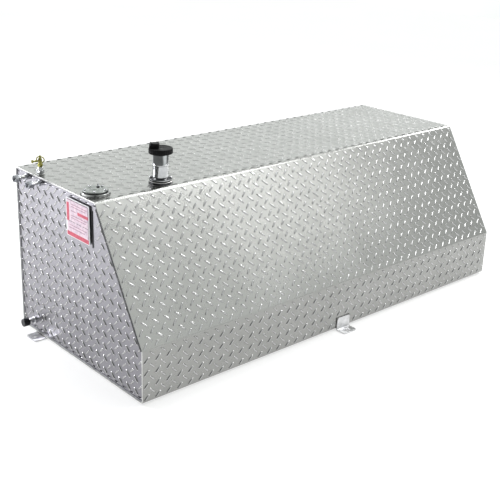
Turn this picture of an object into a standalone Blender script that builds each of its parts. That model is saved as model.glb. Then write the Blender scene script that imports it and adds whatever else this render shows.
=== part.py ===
# Wedge-shaped aluminium liquid tank made of tread plate, with its filler, gauge sender,
# relief valve, two ports, drain, baffles and mounting brackets. Metres, +Z up, long side along X.
import math

import bmesh
import bpy
from mathutils import Matrix, Vector

MM = 0.001

# Shell of the tank, measured from its front left bottom corner
LENGTH = 1.422
DEPTH = 0.600
TOP_DEPTH = 0.403
HEIGHT = 0.476
FRONT_HEIGHT = 0.146
SHEET = 0.0032
GAP = 0.0003
BEND_RADII = (0.010, 0.012, 0.012, 0.009, 0.009)
BEND_STEPS = 5
PLATE_INSET = 0.004
FOOT = 0.004

# Brackets
BRACKET_WIDTH = 0.052
BRACKET_REACH = 0.0355
BRACKET_RISE = 0.036
FRONT_BRACKET_X = 0.721
SIDE_TAB_Y = 0.495
SIDE_TAB_LAP = 0.015

# Fittings on the left end
NUT_END = 0.040
PORT_HEIGHT = 0.4608
PORT_YS = {"rear": 0.534, "front": 0.464}
DRAIN_Y = 0.536
DRAIN_HEIGHT = 0.031

# Fittings on the top
FILLER = (0.230, 0.236)
SENDER = (0.041, 0.257)
VALVE = (0.014, 0.484)
FILLER_SCREWS = 6
SENDER_SCREWS = 5

# World origin: middle of the whole object in plan, underside of the feet in height
CENTRE = Vector(((LENGTH + BRACKET_REACH - NUT_END) / 2, DEPTH / 2, -FOOT))

SENDER_PIVOT_DROP = 0.236
FLOAT_ARM = 0.205
FLOAT_REST = math.radians(-62)
RING_RADIUS = 0.0103
RING_LEAN = math.radians(25)
RING_SIDE = Vector((0.753, -0.657, 0)).normalized()
NOZZLE_TURN = math.radians(168)
CAP_TURN = math.radians(138.9)


def at(x, y, z):
    """A point given from the shell's corner, in world coordinates."""
    return Vector((x, y, z)) - CENTRE


def clear_scene():
    for obj in list(bpy.data.objects):
        bpy.data.objects.remove(obj, do_unlink=True)


def make_material(name, colour, roughness, metallic):
    mat = bpy.data.materials.new(name)
    mat.use_nodes = True
    shader = mat.node_tree.nodes["Principled BSDF"]
    shader.inputs["Base Color"].default_value = (*colour, 1.0)
    shader.inputs["Roughness"].default_value = roughness
    shader.inputs["Metallic"].default_value = metallic
    return mat


clear_scene()
cutters = bpy.data.collections.new("cutters")
bpy.context.scene.collection.children.link(cutters)

LOOKS = {
    "tread": ((0.62, 0.63, 0.66), 0.32, 1.0),
    "plain": ((0.66, 0.66, 0.67), 0.35, 1.0),
    "weld": ((0.55, 0.55, 0.56), 0.45, 1.0),
    "chrome": ((0.80, 0.80, 0.82), 0.08, 1.0),
    "steel": ((0.55, 0.56, 0.58), 0.28, 1.0),
    "brass": ((0.62, 0.54, 0.22), 0.25, 1.0),
    "black": ((0.02, 0.02, 0.022), 0.45, 0.0),
    "rubber": ((0.015, 0.015, 0.015), 0.70, 0.0),
    "label": ((0.85, 0.78, 0.82), 0.45, 0.0),
}


def finish(name, bm, look, origin=None, collection=None):
    """Turn a bmesh given in world coordinates into an object whose origin is at `origin`."""
    bmesh.ops.recalc_face_normals(bm, faces=bm.faces)
    origin = Vector(origin) if origin is not None else Vector((0, 0, 0))
    bmesh.ops.translate(bm, verts=bm.verts, vec=-origin)
    mesh = bpy.data.meshes.new(name)
    bm.to_mesh(mesh)
    bm.free()
    obj = bpy.data.objects.new(name, mesh)
    obj.location = origin
    (collection or bpy.context.scene.collection).objects.link(obj)
    if look:
        mesh.materials.append(make_material(name, *LOOKS[look]))
    return obj


def sweep(bm, rings, closed):
    """Skin a list of equal vertex loops. Closed joins the last to the first, else both are capped."""
    made = [[bm.verts.new(p) for p in ring] for ring in rings]
    count = len(made)
    for i in range(count if closed else count - 1):
        a, b = made[i], made[(i + 1) % count]
        for j in range(len(a)):
            k = (j + 1) % len(a)
            bm.faces.new((a[j], a[k], b[k], b[j]))
    if not closed:
        bm.faces.new(made[0])
        bm.faces.new(made[-1])
    return bm


def turn_frame(axis):
    """Matrix whose Z column is the given axis."""
    return Vector(axis).normalized().to_track_quat("Z", "Y").to_matrix().to_4x4()


def revolve(profile, centre, axis=(0, 0, 1), steps=32, turn=0.0):
    """Spin (radius, height) points about an axis. A profile that never meets the axis makes a ring."""
    bm = bmesh.new()
    place = Matrix.Translation(centre) @ turn_frame(axis)
    loops = []
    for radius, height in profile:
        if radius < 1e-7:
            loops.append([bm.verts.new(place @ Vector((0, 0, height)))])
            continue
        loops.append([
            bm.verts.new(place @ Vector((
                radius * math.cos(turn + 2 * math.pi * s / steps),
                radius * math.sin(turn + 2 * math.pi * s / steps),
                height,
            )))
            for s in range(steps)
        ])
    ring = len(loops[0]) > 1 and len(loops[-1]) > 1
    for i in range(len(loops) if ring else len(loops) - 1):
        a, b = loops[i], loops[(i + 1) % len(loops)]
        for s in range(steps):
            t = (s + 1) % steps
            if len(a) == 1:
                bm.faces.new((a[0], b[s], b[t]))
            elif len(b) == 1:
                bm.faces.new((a[s], a[t], b[0]))
            else:
                bm.faces.new((a[s], a[t], b[t], b[s]))
    return bm


def box(low, high):
    bm = bmesh.new()
    bmesh.ops.create_cube(bm, size=1.0)
    low, high = Vector(low), Vector(high)
    for v in bm.verts:
        v.co = (low + high) / 2 + Vector(v.co[i] * (high[i] - low[i]) for i in range(3))
    return bm


def merge(bm, other):
    """Copy another bmesh into this one as a separate shell."""
    mesh = bpy.data.meshes.new("tmp")
    other.to_mesh(mesh)
    other.free()
    bm.from_mesh(mesh)
    bpy.data.meshes.remove(mesh)
    return bm


def combine(target, bm, operation, name):
    """Boolean a bmesh of tools into, or out of, an object."""
    tool = finish(name, bm, None, collection=cutters)
    tool.hide_render = True
    tool.display_type = "WIRE"
    mod = target.modifiers.new(name, "BOOLEAN")
    mod.operation = operation
    mod.solver = "EXACT"
    mod.object = tool


def rod(start, end, radius, steps=16):
    start, end = Vector(start), Vector(end)
    span = (end - start).length
    return revolve([(0, 0), (radius, 0), (radius, span), (0, span)], start, end - start, steps)


def drill(target, name, holes, steps=20):
    """Cut round holes, each given as start point, end point and radius."""
    bm = bmesh.new()
    for start, end, radius in holes:
        merge(bm, rod(start, end, radius, steps))
    combine(target, bm, "DIFFERENCE", name)


# Shell ---------------------------------------------------------------------------------------

def shell_loop(inset):
    """Section of the shell in Y and Z, moved inwards by `inset`, with its bends rounded."""
    corners = [
        Vector((DEPTH - TOP_DEPTH, HEIGHT)), Vector((DEPTH, HEIGHT)), Vector((DEPTH, 0)),
        Vector((0, 0)), Vector((0, FRONT_HEIGHT)),
    ]
    count = len(corners)
    moved = []
    for i, corner in enumerate(corners):
        before = (corner - corners[i - 1]).normalized()
        after = (corners[(i + 1) % count] - corner).normalized()
        inward = [Vector((d.y, -d.x)) for d in (before, after)]
        half = math.cos(before.angle(after) / 2)
        moved.append(corner + (inward[0] + inward[1]).normalized() * inset / half)
    points = []
    for i, corner in enumerate(moved):
        radius = max(BEND_RADII[i] - inset, 0.0012)
        back = (moved[i - 1] - corner).normalized()
        on = (moved[(i + 1) % count] - corner).normalized()
        opening = back.angle(on)
        reach = radius / math.tan(opening / 2)
        middle = corner + (back + on).normalized() * radius / math.sin(opening / 2)
        first = corner + back * reach - middle
        last = corner + on * reach - middle
        swing = first.angle_signed(last)
        for s in range(BEND_STEPS + 1):
            a = -swing * s / BEND_STEPS
            points.append(middle + Vector((
                first.x * math.cos(a) - first.y * math.sin(a),
                first.x * math.sin(a) + first.y * math.cos(a),
            )))
    return points


def section(inset, x):
    return [at(x, p.x, p.y) for p in shell_loop(inset)]


def band(x0, x1, outer, inner):
    """A tube that follows the shell's section from x0 to x1."""
    bm = bmesh.new()
    rings = [section(outer, x0), section(outer, x1), section(inner, x1), section(inner, x0)]
    return sweep(bm, rings, closed=True)


def panel(x0, x1, inset):
    bm = bmesh.new()
    return sweep(bm, [section(inset, x0), section(inset, x1)], closed=False)


def build_shell():
    wrap = finish("tank_wrap", band(0, LENGTH, 0, SHEET), "tread")
    through = (HEIGHT - 0.02, HEIGHT + 0.02)
    drill(wrap, "wrap_holes", [
        (at(*FILLER, through[0]), at(*FILLER, through[1]), 0.0225),
        (at(*SENDER, through[0]), at(*SENDER, through[1]), 0.0218),
        (at(*VALVE, through[0]), at(*VALVE, through[1]), 0.0067),
    ], steps=32)
    inside = SHEET + GAP
    left = finish("end_plate_left", panel(PLATE_INSET, PLATE_INSET + SHEET, inside), "tread")
    holes = [(at(-0.02, y, PORT_HEIGHT), at(0.02, y, PORT_HEIGHT), 0.0073) for y in PORT_YS.values()]
    holes.append((at(-0.02, DRAIN_Y, DRAIN_HEIGHT), at(0.02, DRAIN_Y, DRAIN_HEIGHT), 0.0083))
    drill(left, "plate_holes", holes, steps=24)
    right_x = LENGTH - PLATE_INSET
    finish("end_plate_right", panel(right_x - SHEET, right_x, inside), "tread")
    for side, face, lip in (("left", PLATE_INSET - GAP, 0.0010),
                            ("right", right_x + GAP, LENGTH - 0.0010)):
        bm = bmesh.new()
        rings = [section(inside, face), section(inside + 0.0026, face), section(inside, lip)]
        finish("end_weld_" + side, sweep(bm, rings, closed=True), "weld")
    for side, x in (("left", LENGTH / 3), ("right", LENGTH * 2 / 3)):
        baffle = finish("baffle_" + side, panel(x, x + SHEET, inside), "plain")
        drill(baffle, "baffle_holes_" + side, [
            (at(x - 0.02, DEPTH * 0.60, HEIGHT * 0.5), at(x + 0.02, DEPTH * 0.60, HEIGHT * 0.5), 0.075),
            (at(x - 0.02, DEPTH, 0), at(x + 0.02, DEPTH, 0), 0.045),
            (at(x - 0.02, 0, 0), at(x + 0.02, 0, 0), 0.045),
            (at(x - 0.02, DEPTH, HEIGHT), at(x + 0.02, DEPTH, HEIGHT), 0.045),
        ], steps=24)


# Brackets ------------------------------------------------------------------------------------

def angle_bracket(name, y_face, outward):
    """An L of plate: upright leg against a wall, foot leg pointing away from it."""
    near = y_face + outward * GAP
    far = y_face + outward * BRACKET_REACH
    leg = y_face + outward * (GAP + FOOT)
    x0 = FRONT_BRACKET_X - BRACKET_WIDTH / 2
    x1 = x0 + BRACKET_WIDTH
    outline = [(near, -FOOT), (far, -FOOT), (far, 0), (leg, 0), (leg, BRACKET_RISE), (near, BRACKET_RISE)]
    bm = bmesh.new()
    sweep(bm, [[at(x, y, z) for y, z in outline] for x in (x0, x1)], closed=False)
    obj = finish(name, bm, "plain")
    middle = y_face + outward * 0.0215
    drill(obj, name + "_hole",
          [(at(FRONT_BRACKET_X, middle, -0.02), at(FRONT_BRACKET_X, middle, 0.01), 0.0055)])


def side_tab(name, x_edge, outward):
    """A flat plate under the shell's end, reaching outwards, with one bolt hole."""
    inner = x_edge - outward * SIDE_TAB_LAP
    outer = x_edge + outward * BRACKET_REACH
    low = at(min(inner, outer), SIDE_TAB_Y - BRACKET_WIDTH / 2, -FOOT)
    high = at(max(inner, outer), SIDE_TAB_Y + BRACKET_WIDTH / 2, -GAP)
    obj = finish(name, box(low, high), "plain")
    middle = x_edge + outward * 0.021
    drill(obj, name + "_hole",
          [(at(middle, SIDE_TAB_Y, -0.02), at(middle, SIDE_TAB_Y, 0.01), 0.0055)])


def build_brackets():
    angle_bracket("bracket_front", 0, -1)
    angle_bracket("bracket_rear", DEPTH, 1)
    side_tab("tab_left", 0, -1)
    side_tab("tab_right", LENGTH, 1)


# Label ---------------------------------------------------------------------------------------

def build_label():
    face = PLATE_INSET - GAP
    finish("label_pad", box(at(face - 0.0035, 0.232, 0.363), at(face, 0.322, 0.448)), "rubber")
    finish("label_plate", box(at(-0.0016, 0.222, 0.354), at(face - 0.0038, 0.332, 0.458)), "label")
    finish("label_edge_strip", box(at(-0.0016, 0.213, 0.350), at(face, 0.2217, 0.448)), "rubber")


# Screws --------------------------------------------------------------------------------------

def on_circle(centre, radius, count, index, phase):
    a = phase + 2 * math.pi * index / count
    return centre[0] + radius * math.cos(a), centre[1] + radius * math.sin(a)


def pan_screw(name, x, y, seat, head_radius, shank_radius, length):
    head = 0.0036
    profile = [
        (0, -length), (shank_radius, -length), (shank_radius, GAP), (head_radius, GAP),
        (head_radius, head * 0.55), (head_radius * 0.72, head), (0, head),
    ]
    finish(name, revolve(profile, at(x, y, seat), steps=16), "steel")


# Filler --------------------------------------------------------------------------------------

def build_filler():
    top = HEIGHT
    base = at(*FILLER, top)
    ring = finish("filler_weld_ring", revolve(
        [(0.0220, -0.0045), (0.0220, 0.0080), (0.0310, 0.0080), (0.0310, GAP), (0.0222, GAP), (0.0222, -0.0045)],
        base, steps=40), "plain")
    gasket = finish("filler_gasket", revolve(
        [(0.0220, 0.0083), (0.0220, 0.0113), (0.0305, 0.0113), (0.0305, 0.0083)], base, steps=40), "rubber")
    neck = finish("filler_neck", revolve([
        (0.0195, 0.0116), (0.0195, 0.0827), (0.0215, 0.0827), (0.0215, 0.0540), (0.0226, 0.0530),
        (0.0226, 0.0500), (0.0215, 0.0490), (0.0215, 0.0180), (0.0235, 0.0151), (0.0305, 0.0151),
        (0.0305, 0.0116),
    ], base, steps=40), "chrome")
    points = [on_circle(FILLER, 0.0268, FILLER_SCREWS, i, 0.35) for i in range(FILLER_SCREWS)]
    for target, low, high, radius in ((ring, 0.0020, 0.0200, 0.0019), (gasket, 0.005, 0.014, 0.0022),
                                      (neck, 0.0100, 0.0250, 0.0022)):
        drill(target, target.name + "_holes",
              [(at(x, y, top + low), at(x, y, top + high), radius) for x, y in points], steps=12)
    for i, (x, y) in enumerate(points):
        pan_screw(f"filler_screw_{i + 1}", x, y, top + 0.0151, 0.0030, 0.0016, 0.0120)

    hub = at(*FILLER, top)
    finish("cap_seal", revolve(
        [(0.0198, 0.0830), (0.0198, 0.0850), (0.0225, 0.0850), (0.0225, 0.0830)], hub, steps=32), "rubber", hub)
    finish("cap_insert", revolve([
        (0, 0.0690), (0.0170, 0.0690), (0.0191, 0.0715), (0.0191, 0.0853), (0.0235, 0.0853),
        (0.0235, 0.0873), (0, 0.0873),
    ], hub, steps=32), "black", hub)
    cap = finish("filler_cap", revolve([
        (0, 0.0876), (0.0242, 0.0876), (0.0242, 0.0815), (0.0300, 0.0815), (0.0320, 0.0830),
        (0.0320, 0.0945), (0.0302, 0.0960), (0, 0.0960),
    ], hub, steps=40), "black", hub)

    outward = Vector((math.cos(CAP_TURN), math.sin(CAP_TURN), 0))
    across = Vector((-outward.y, outward.x, 0))

    def cap_box(out0, out1, half, z0, z1):
        bm = bmesh.new()
        corners = ((out0, -half), (out1, -half), (out1, half), (out0, half))
        rings = [[hub + outward * o + across * w + Vector((0, 0, z)) for o, w in corners] for z in (z0, z1)]
        return sweep(bm, rings, closed=False)

    combine(cap, cap_box(0.0035, 0.0250, 0.0115, 0.0930, 0.1045), "UNION", "lock_housing")
    combine(cap, cap_box(0.0240, 0.0292, 0.0115, 0.0920, 0.1080), "UNION", "hinge_ears")
    combine(cap, cap_box(0.0236, 0.0310, 0.0070, 0.0985, 0.1120), "DIFFERENCE", "hinge_slot")
    pin_at = hub + outward * 0.0270 + Vector((0, 0, 0.1052))
    drill(cap, "pin_bore", [(pin_at - across * 0.0090, pin_at + across * 0.0140, 0.0011)], steps=16)
    lock_at = hub + outward * 0.0135
    drill(cap, "lock_bore", [(lock_at + Vector((0, 0, 0.0900)), lock_at + Vector((0, 0, 0.1100)), 0.0063)],
          steps=24)
    barrel = finish("cap_lock_barrel", revolve(
        [(0, 0.0904), (0.0060, 0.0904), (0.0060, 0.1040), (0, 0.1040)], lock_at, steps=24), "brass", lock_at)
    slot = Vector((0.0006, 0.0036, 0))
    combine(barrel, box(lock_at - slot + Vector((0, 0, 0.1000)), lock_at + slot + Vector((0, 0, 0.1060))),
            "DIFFERENCE", "key_slot")
    finish("cap_flap_pin", rod(pin_at - across * 0.0088, pin_at + across * 0.0112, 0.0010, 16), "steel", hub)
    flap = finish("cap_key_flap", cap_box(0.0040, 0.0222, 0.0112, 0.1048, 0.1078), "black", pin_at)
    combine(flap, cap_box(0.0215, 0.0270, 0.0066, 0.1048, 0.1078), "UNION", "flap_tongue")
    combine(flap, rod(pin_at - across * 0.0066, pin_at + across * 0.0066, 0.0024, 16), "UNION", "flap_knuckle")
    drill(flap, "flap_bore", [(pin_at - across * 0.02, pin_at + across * 0.02, 0.0013)], steps=16)


# Gauge sender --------------------------------------------------------------------------------

def build_sender():
    top = HEIGHT
    base = at(*SENDER, top)
    ring = finish("sender_weld_ring", revolve(
        [(0.0210, -0.0045), (0.0210, 0.0070), (0.0370, 0.0070), (0.0370, GAP), (0.0215, GAP), (0.0215, -0.0045)],
        base, steps=40), "plain")
    gasket = finish("sender_gasket", revolve(
        [(0.0208, 0.0073), (0.0208, 0.0093), (0.0330, 0.0093), (0.0330, 0.0073)], base, steps=40), "rubber")
    plate = finish("sender_plate", revolve(
        [(0, 0.0096), (0.0330, 0.0096), (0.0330, 0.0118), (0.0320, 0.0126), (0.0095, 0.0126),
         (0.0085, 0.0142), (0, 0.0142)], base, steps=40), "steel")
    points = [on_circle(SENDER, 0.0270, SENDER_SCREWS, i, 0.30) for i in range(SENDER_SCREWS)]
    for target, low, high, radius in ((ring, 0.0020, 0.0200, 0.0019), (gasket, 0.005, 0.012, 0.0022),
                                      (plate, 0.008, 0.0200, 0.0022)):
        drill(target, target.name + "_holes",
              [(at(x, y, top + low), at(x, y, top + high), radius) for x, y in points], steps=12)
    for i, (x, y) in enumerate(points):
        pan_screw(f"sender_screw_{i + 1}", x, y, top + 0.0126, 0.0034, 0.0016, 0.0095)
    stud = at(SENDER[0] + 0.013, SENDER[1] + 0.008, top)
    finish("sender_terminal", revolve([
        (0, 0.0129), (0.0040, 0.0129), (0.0040, 0.0150), (0.0028, 0.0150), (0.0028, 0.0172),
        (0.0017, 0.0172), (0.0017, 0.0220), (0, 0.0220),
    ], stud, steps=12), "brass")

    pivot = at(SENDER[0], SENDER[1], top - SENDER_PIVOT_DROP)
    head = base + Vector((0, 0, 0.0093))
    stem = finish("sender_stem", rod(head, pivot + Vector((0, 0, 0.009)), 0.0040, 12), "plain")
    combine(stem, box(pivot + Vector((-0.006, -0.0045, -0.012)), pivot + Vector((0.006, 0.0015, 0.012))),
            "UNION", "stem_foot")
    combine(stem, rod(pivot, pivot + Vector((0, 0.0085, 0)), 0.0015, 16), "UNION", "stem_pivot")
    arm_start = pivot + Vector((0, 0.0045, 0))
    arm = finish("float_arm", revolve(
        [(0.0017, -0.0022), (0.0017, 0.0022), (0.0045, 0.0022), (0.0045, -0.0022)],
        arm_start, (0, 1, 0), 16), "steel", pivot)
    aim = Vector((math.cos(FLOAT_REST), 0, math.sin(FLOAT_REST)))
    combine(arm, rod(arm_start + aim * 0.0030, arm_start + aim * (FLOAT_ARM + 0.004), 0.0014, 12),
            "UNION", "arm_rod")
    tip = arm_start + aim * FLOAT_ARM
    side = Vector((0, 0.024, 0))
    ball = finish("sender_float", revolve([
        (0, -0.024), (0.013, -0.024), (0.018, -0.019), (0.018, 0.019), (0.013, 0.024), (0, 0.024),
    ], tip, (0, 1, 0), 20), "black", pivot)
    drill(ball, "float_bore", [(tip - aim * 0.03, tip + aim * 0.03, 0.0017)], steps=12)


# Relief valve --------------------------------------------------------------------------------

def build_valve():
    base = at(*VALVE, HEIGHT)
    finish("valve_bung", revolve(
        [(0.0067, GAP), (0.0067, 0.0050), (0.0110, 0.0050), (0.0110, GAP)], base, steps=24), "plain")
    riser = finish("valve_riser", revolve([
        (0.0045, -0.0100), (0.0045, 0.0220), (0.0080, 0.0220), (0.0080, 0.0100), (0.0064, 0.0100),
        (0.0064, -0.0100),
    ], base, steps=24), "steel")
    combine(riser, revolve(
        [(0.0055, 0.0053), (0.0055, 0.0150), (0.0112, 0.0150), (0.0112, 0.0053)], base, steps=6, turn=0.3),
        "UNION", "riser_hex")
    body = finish("valve_body", revolve([
        (0, 0.0223), (0.0052, 0.0223), (0.0052, 0.0440), (0.0040, 0.0455), (0, 0.0455),
    ], base, steps=24), "brass")
    combine(body, revolve(
        [(0, 0.0240), (0.0078, 0.0240), (0.0078, 0.0300), (0, 0.0300)], base, steps=6, turn=0.3),
        "UNION", "body_hex")
    aim = Vector((math.cos(NOZZLE_TURN), math.sin(NOZZLE_TURN), 0))
    mouth = base + Vector((0, 0, 0.0385))
    combine(body, revolve([
        (0, 0.0010), (0.0026, 0.0010), (0.0026, 0.0190), (0.0046, 0.0195), (0.0046, 0.0235),
        (0.0022, 0.0235), (0.0022, 0.0140), (0, 0.0140),
    ], mouth, aim, 20), "UNION", "body_nozzle")
    drill(body, "stem_bore", [(base + Vector((0, 0, 0.0330)), base + Vector((0, 0, 0.0500)), 0.0023)], steps=20)
    hole = base + Vector((0, 0, 0.0500))
    stem = finish("valve_stem", revolve(
        [(0, 0.0350), (0.0020, 0.0350), (0.0020, 0.0458), (0.0031, 0.0462), (0.0031, 0.0534), (0.0022, 0.0542),
         (0, 0.0542)], base, steps=16), "brass", hole)
    drill(stem, "ring_hole", [(hole - RING_SIDE * 0.01, hole + RING_SIDE * 0.01, 0.0021)], steps=16)
    build_ring(hole)


def build_ring(hole):
    """A wire ring through the stem's cross hole, leaning away from the outlet side."""
    back = Vector((-RING_SIDE.y, RING_SIDE.x, 0))
    down = Vector((0, 0, -math.cos(RING_LEAN))) + back * math.sin(RING_LEAN)
    centre = hole + down * RING_RADIUS
    normal = RING_SIDE.cross(down)
    rings = []
    for i in range(28):
        a = 2 * math.pi * i / 28
        out = RING_SIDE * math.cos(a) + down * math.sin(a)
        rings.append([
            centre + out * (RING_RADIUS + 0.0012 * math.cos(b)) + normal * 0.0012 * math.sin(b)
            for b in (2 * math.pi * k / 8 for k in range(8))
        ])
    finish("valve_ring", sweep(bmesh.new(), rings, closed=True), "brass", hole)


# Ports and drain -----------------------------------------------------------------------------

def build_ports():
    outwards = (-1, 0, 0)
    for place, y in PORT_YS.items():
        seat = at(0, y, PORT_HEIGHT)
        body = finish("port_fitting_" + place, revolve([
            (0.0045, -0.0200), (0.0045, NUT_END - 0.003), (0.0070, NUT_END - 0.003), (0.0055, 0.0320),
            (0.0055, 0.0030), (0.0085, 0.0030), (0.0085, -0.0037), (0.0070, -0.0037), (0.0070, -0.0200),
        ], seat, outwards, 24), "steel")
        combine(body, revolve(
            [(0.0050, -0.0005), (0.0050, 0.0070), (0.0092, 0.0070), (0.0092, -0.0005)], seat, outwards, 6),
            "UNION", "port_hex_" + place)
        nut = finish("port_nut_" + place, revolve([
            (0, 0.0215), (0.0098, 0.0215), (0.0108, 0.0240), (0.0108, 0.0375), (0.0100, NUT_END), (0, NUT_END),
        ], seat, outwards, 6, 0.2), "steel")
        combine(nut, revolve([
            (0, 0.0200), (0.0058, 0.0200), (0.0058, 0.0310), (0.0076, 0.0310), (0.0076, 0.0450), (0, 0.0450),
        ], seat, outwards, 24), "DIFFERENCE", "nut_bore_" + place)

    seat = at(0, DRAIN_Y, DRAIN_HEIGHT)
    finish("drain_nipple", revolve([
        (0.0050, -0.0250), (0.0050, 0.0290), (0.0078, 0.0290), (0.0078, 0.0010), (0.0110, 0.0005),
        (0.0110, -0.0037), (0.0078, -0.0037), (0.0078, -0.0250),
    ], seat, outwards, 24), "steel")
    finish("drain_washer", revolve(
        [(0.0052, 0.0293), (0.0052, 0.0308), (0.0076, 0.0308), (0.0076, 0.0293)], seat, outwards, 20),
        "rubber", seat)
    finish("drain_cap", revolve([
        (0, 0.0350), (0.0100, 0.0350), (0.0115, 0.0335), (0.0115, 0.0170), (0.0081, 0.0170),
        (0.0081, 0.0311), (0, 0.0311),
    ], seat, outwards, 24), "steel", seat)
    low = at(0.0200, PORT_YS["front"], PORT_HEIGHT)
    pickup = finish("pickup_tube", revolve(
        [(0.0030, 0.0003), (0.0030, 0.0240), (0.0065, 0.0240), (0.0065, 0.0003)], low, (1, 0, 0), 20), "plain")
    elbow = low + Vector((0.0180, 0, 0))
    combine(pickup, rod(elbow, elbow + Vector((0, 0, -(PORT_HEIGHT - 0.016))), 0.0060, 16), "UNION", "pickup_drop")


build_shell()
build_brackets()
build_label()
build_filler()
build_sender()
build_valve()
build_ports()
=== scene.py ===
import math

import bmesh
import bpy
from mathutils import Matrix, Vector


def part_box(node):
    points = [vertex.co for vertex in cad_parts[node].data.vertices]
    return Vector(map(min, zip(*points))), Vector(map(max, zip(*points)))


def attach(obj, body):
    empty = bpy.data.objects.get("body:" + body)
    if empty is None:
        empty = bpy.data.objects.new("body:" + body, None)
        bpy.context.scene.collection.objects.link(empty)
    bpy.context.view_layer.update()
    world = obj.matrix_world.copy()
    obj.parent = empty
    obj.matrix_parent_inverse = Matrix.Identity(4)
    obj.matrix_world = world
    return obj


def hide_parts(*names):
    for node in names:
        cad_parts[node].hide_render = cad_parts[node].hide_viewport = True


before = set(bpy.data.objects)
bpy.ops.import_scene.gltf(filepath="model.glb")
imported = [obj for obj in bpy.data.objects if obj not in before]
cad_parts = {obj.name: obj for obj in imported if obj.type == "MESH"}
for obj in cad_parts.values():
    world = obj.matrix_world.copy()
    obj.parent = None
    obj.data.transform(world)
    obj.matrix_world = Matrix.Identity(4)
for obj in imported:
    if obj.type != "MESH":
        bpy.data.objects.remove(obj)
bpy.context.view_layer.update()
print("frame loaded with", len(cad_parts), "nodes")

# The shell's section and place, in metres. Places below count from its front left bottom corner.
shell = {
    "length": 1.422, "depth": 0.600, "topDepth": 0.403, "height": 0.476, "frontHeight": 0.146,
    "sheet": 0.0032, "plateInset": 0.004, "bendSteps": 12, "softEdge": 0.0005,
    "holes": {"filler_weld_ring": 0.0225, "sender_weld_ring": 0.0218, "valve_bung": 0.0067},
    "shadedEdgeStop": 0.008, "lipOverlap": 0.001,
}
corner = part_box("tank_wrap")[0]
slopeRun = shell["depth"] - shell["topDepth"]
slopeRise = shell["height"] - shell["frontHeight"]
slopeLength = math.hypot(slopeRun, slopeRise)
slopeTurn = math.atan2(slopeRise, slopeRun)
bends = (  # the section's corners in turn: place, how far the sheet turns there, radius
    ((slopeRun, shell["height"]), slopeTurn, 0.010),
    ((shell["depth"], shell["height"]), math.pi / 2, 0.012),
    ((shell["depth"], 0), math.pi / 2, 0.012),
    ((0, 0), math.pi / 2, 0.009),
    ((0, shell["frontHeight"]), math.pi / 2 - slopeTurn, 0.009),
)


def at(x, y, z):
    return corner + Vector((x, y, z))


def middleOf(node):
    low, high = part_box(node)
    return (low + high) / 2

def onTop(node):
    spot = middleOf(node)
    spot.z = at(0, 0, shell["height"]).z
    return spot


def onLeftEnd(node):
    spot = middleOf(node)
    spot.x = at(0, 0, 0).x
    return spot


# Camera
view = {
    "place": (-1.17335, -1.66733, 1.20237), "right": (0.75326141, -0.65709692, 0.02865094),
    "up": (0.20039586, 0.27077715, 0.94155257), "forward": (0.62644931, 0.70349369, -0.33564548),
    "lens": 67.083, "shift": (0.016264, -0.049098),
}
cameraData = bpy.data.cameras.new("camera")
cameraData.lens = view["lens"]
cameraData.sensor_width = 36
cameraData.shift_x, cameraData.shift_y = view["shift"]
cameraData.clip_end = 50
camera = bpy.data.objects.new("camera", cameraData)
bpy.context.scene.collection.objects.link(camera)
aim = Matrix((view["right"], view["up"], -Vector(view["forward"]))).transposed()
camera.matrix_world = Matrix.Translation(at(*view["place"])) @ aim.to_4x4()
bpy.context.scene.camera = camera
print("camera placed")


# Materials: one finish each, with grain, blotches and fine relief on object coordinates
class Finish:
    def __init__(self, name, colour, roughness, metallic):
        self.material = bpy.data.materials.new(name)
        self.material.use_nodes = True
        self.tree = self.material.node_tree
        self.shader = self.tree.nodes["Principled BSDF"]
        self.shader.inputs["Base Color"].default_value = (*colour, 1)
        self.shader.inputs["Roughness"].default_value = roughness
        self.shader.inputs["Metallic"].default_value = metallic
        self.coords = self.tree.nodes.new("ShaderNodeTexCoord")
        self.lastBump = None

    def link(self, out, into):
        self.tree.links.new(out, into)

    def noise(self, scale, detail=4, stretch=(1, 1, 1), distortion=0.0):
        mapping = self.tree.nodes.new("ShaderNodeMapping")
        mapping.inputs["Scale"].default_value = stretch
        self.link(self.coords.outputs["Object"], mapping.inputs["Vector"])
        node = self.tree.nodes.new("ShaderNodeTexNoise")
        node.inputs["Scale"].default_value = scale
        node.inputs["Detail"].default_value = detail
        node.inputs["Distortion"].default_value = distortion
        self.link(mapping.outputs["Vector"], node.inputs["Vector"])
        return node.outputs["Fac"]

    def spread(self, value, low, high):
        node = self.tree.nodes.new("ShaderNodeMapRange")
        node.inputs["From Min"].default_value = 0.3
        node.inputs["From Max"].default_value = 0.7
        node.inputs["To Min"].default_value = low
        node.inputs["To Max"].default_value = high
        self.link(value, node.inputs["Value"])
        return node.outputs["Result"]

    def blotches(self, value, dark, light, start=0.32, end=0.70):
        node = self.tree.nodes.new("ShaderNodeValToRGB")
        for element, place, colour in zip(node.color_ramp.elements, (start, end), (dark, light)):
            element.position = place
            element.color = (*colour, 1)
        self.link(value, node.inputs["Fac"])
        self.link(node.outputs["Color"], self.shader.inputs["Base Color"])

    def gloss(self, value, low, high):
        self.link(self.spread(value, low, high), self.shader.inputs["Roughness"])

    def bump(self, value, distance, strength=1.0):
        node = self.tree.nodes.new("ShaderNodeBump")
        node.inputs["Distance"].default_value = distance
        node.inputs["Strength"].default_value = strength
        self.link(value, node.inputs["Height"])
        if self.lastBump:
            self.link(self.lastBump, node.inputs["Normal"])
        self.lastBump = node.outputs["Normal"]
        self.link(self.lastBump, self.shader.inputs["Normal"])


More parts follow.
